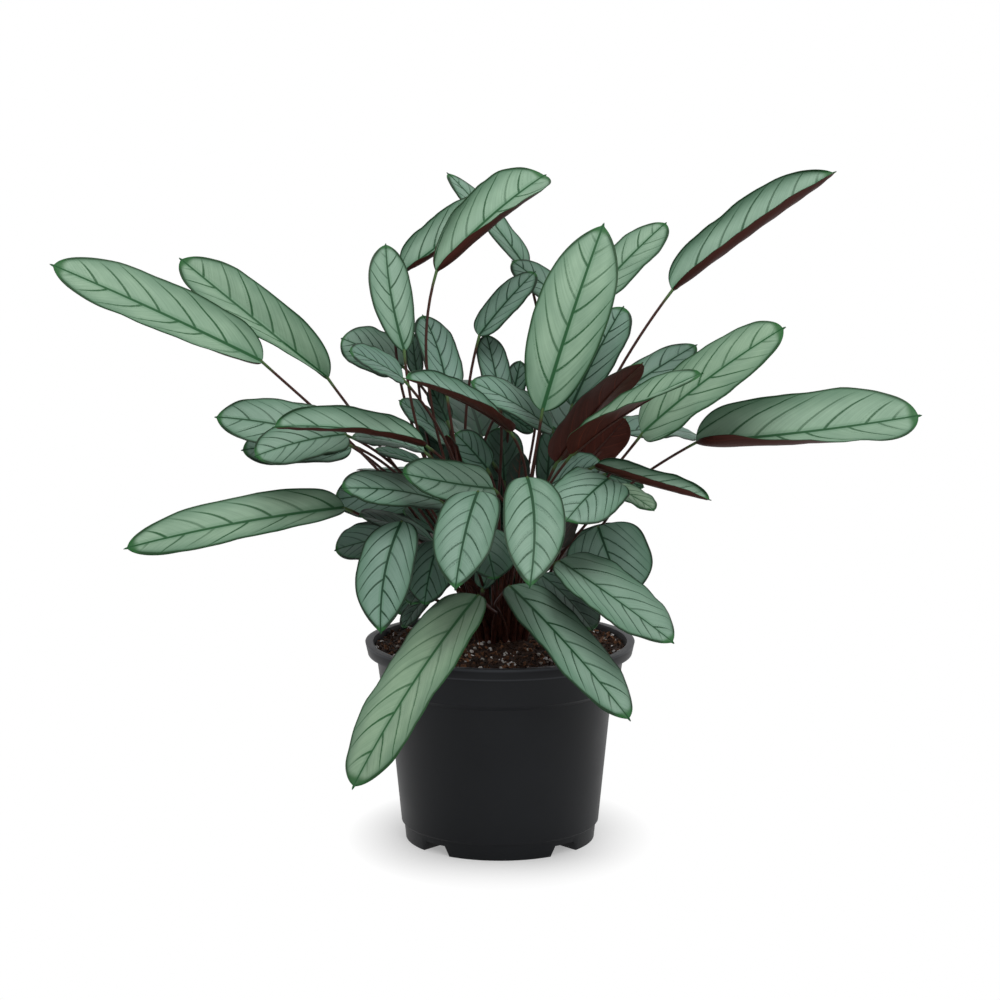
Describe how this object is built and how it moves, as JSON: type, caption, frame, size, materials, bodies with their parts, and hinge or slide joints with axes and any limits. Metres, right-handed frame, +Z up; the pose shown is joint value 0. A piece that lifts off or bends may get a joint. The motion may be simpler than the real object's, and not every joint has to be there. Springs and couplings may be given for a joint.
{
  "type": "potted ctenanthe",
  "caption": "Potted foliage houseplant for display: silver-green oblong leaves with maroon undersides on slender stems, growing from soil in a round tapered nursery pot.",
  "frame": {"origin": "centre of the pot's underside, at the level of the surface it stands on", "axes": "+Z up along the pot's axis, +X to the right and -Y towards a viewer who faces the plant's front"},
  "size_m": [0.6584, 0.413, 0.5225],
  "materials": {
    "pot_plastic": "matte charcoal, faintly glossy",
    "soil": "loose, dark and damp",
    "leaf": "satin silver-green with dark green veins, maroon underneath"
  },
  "bodies": {
    "root": {"pot": "pot_plastic", "soil": "soil", "leaf_01": "leaf", "leaf_02": "leaf", "leaf_03": "leaf", "leaf_04": "leaf", "leaf_05": "leaf", "leaf_06": "leaf", "leaf_07": "leaf", "leaf_08": "leaf", "leaf_09": "leaf", "leaf_10": "leaf", "leaf_11": "leaf", "leaf_12": "leaf", "leaf_13": "leaf", "leaf_14": "leaf", "leaf_15": "leaf", "leaf_16": "leaf", "leaf_17": "leaf", "leaf_18": "leaf", "leaf_19": "leaf", "leaf_20": "leaf", "leaf_21": "leaf", "leaf_22": "leaf", "leaf_23": "leaf", "leaf_24": "leaf", "leaf_25": "leaf", "leaf_26": "leaf", "leaf_27": "leaf", "leaf_28": "leaf", "leaf_29": "leaf", "leaf_30": "leaf", "leaf_31": "leaf", "leaf_32": "leaf", "leaf_33": "leaf", "leaf_34": "leaf", "leaf_35": "leaf", "leaf_36": "leaf", "leaf_37": "leaf", "leaf_38": "leaf", "leaf_39": "leaf", "leaf_40": "leaf", "leaf_41": "leaf", "leaf_42": "leaf", "leaf_43": "leaf", "leaf_44": "leaf", "leaf_45": "leaf", "leaf_46": "leaf", "leaf_47": "leaf", "leaf_48": "leaf", "leaf_49": "leaf", "leaf_50": "leaf", "leaf_51": "leaf", "leaf_52": "leaf", "leaf_53": "leaf", "leaf_54": "leaf", "leaf_55": "leaf", "leaf_56": "leaf", "leaf_57": "leaf", "leaf_58": "leaf"}
  },
  "joints": []
}
